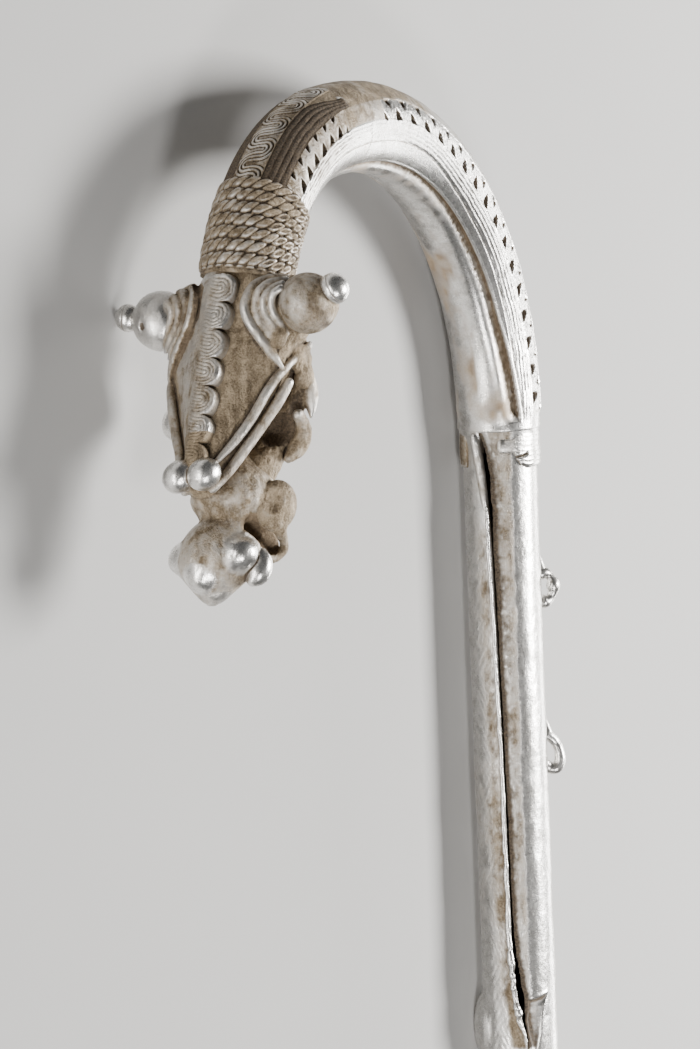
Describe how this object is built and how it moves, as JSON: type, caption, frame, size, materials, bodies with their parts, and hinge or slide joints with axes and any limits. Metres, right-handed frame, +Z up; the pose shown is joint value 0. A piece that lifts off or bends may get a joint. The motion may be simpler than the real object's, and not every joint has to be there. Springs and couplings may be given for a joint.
{
  "type": "ceremonial staff",
  "caption": "Cast metal ceremonial staff: a round shaft with a long slit, and a crook that ends in an animal's head with stalked eyes.",
  "frame": {"origin": "On the floor under the middle of the lying staff's box.", "axes": "+X from the crook towards the foot along the shaft, +Y from the head's side towards the shaft's side, +Z up from the floor."},
  "size_m": [0.9, 0.236, 0.084],
  "materials": {
    "staff": "silvery cast copper alloy, rubbed bright on the high places, tan dirt in the low ones"
  },
  "bodies": {
    "root": {"staff": "staff"}
  },
  "joints": []
}
